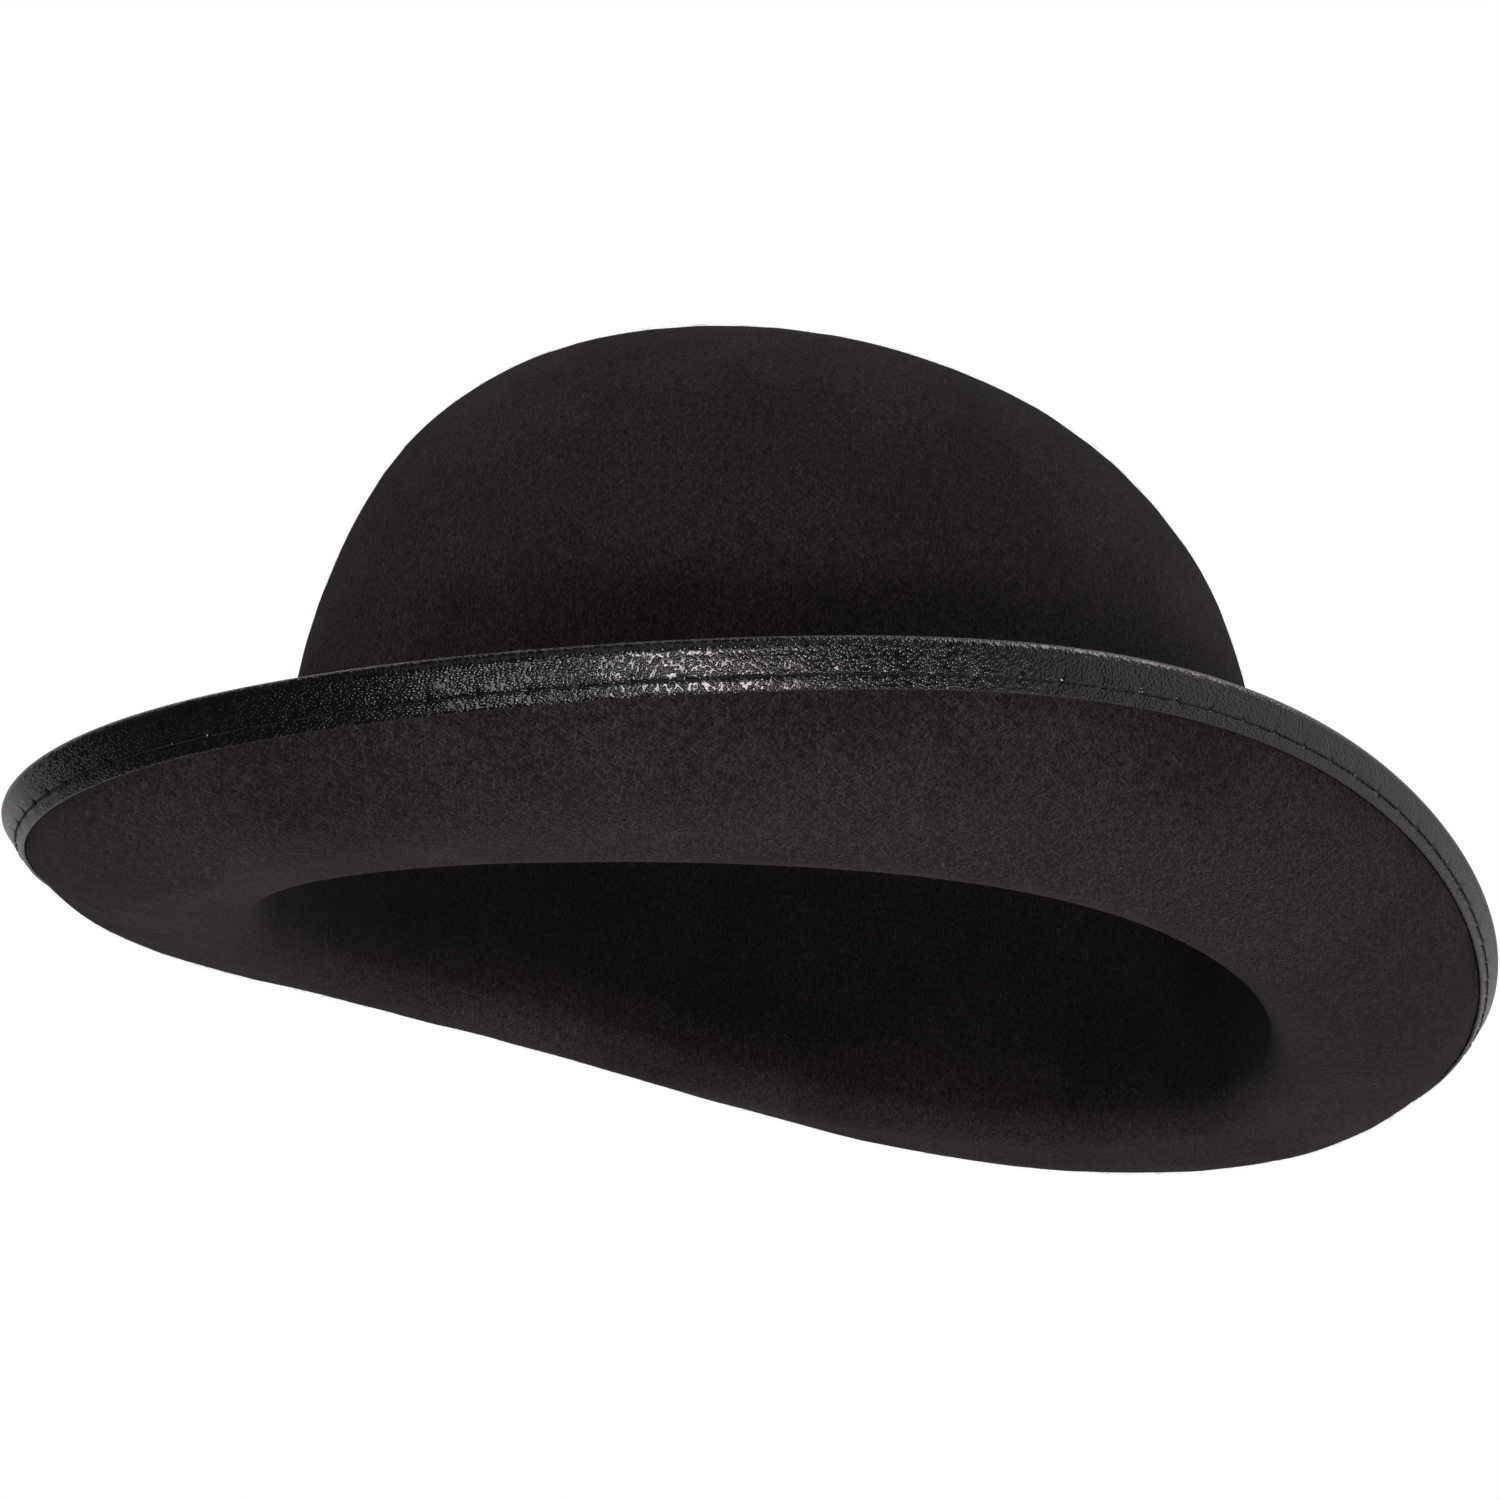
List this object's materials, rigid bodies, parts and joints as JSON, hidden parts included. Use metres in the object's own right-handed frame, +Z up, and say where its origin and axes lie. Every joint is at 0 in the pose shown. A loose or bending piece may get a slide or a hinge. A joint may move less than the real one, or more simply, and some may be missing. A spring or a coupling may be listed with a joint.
{
  "type": "bowler hat",
  "caption": "Hard-shaped felt hat with a domed crown, a brim curled up all round, a sewn leatherette edge strip and a ribbon hatband with a flat bow.",
  "frame": {"origin": "middle of the hat on the plane that its front and back brim dips rest on", "axes": "+Z up through the crown, -Y towards the wearer's front, +X towards the wearer's left, where the bow is"},
  "size_m": [0.2452, 0.3001, 0.1345],
  "materials": {
    "felt": "black pressed felt, fibrous and matte",
    "leatherette": "black grained leatherette, low gloss",
    "thread": "dark sewing thread",
    "ribbon": "black ribbed ribbon, soft sheen"
  },
  "bodies": {
    "root": {"felt_body": "felt", "edge_binding": "leatherette", "needle_thread": "thread", "bobbin_thread": "thread", "hatband": "ribbon", "band_tacks": "thread", "bow_loops": "ribbon", "bow_knot": "ribbon"}
  },
  "joints": []
}
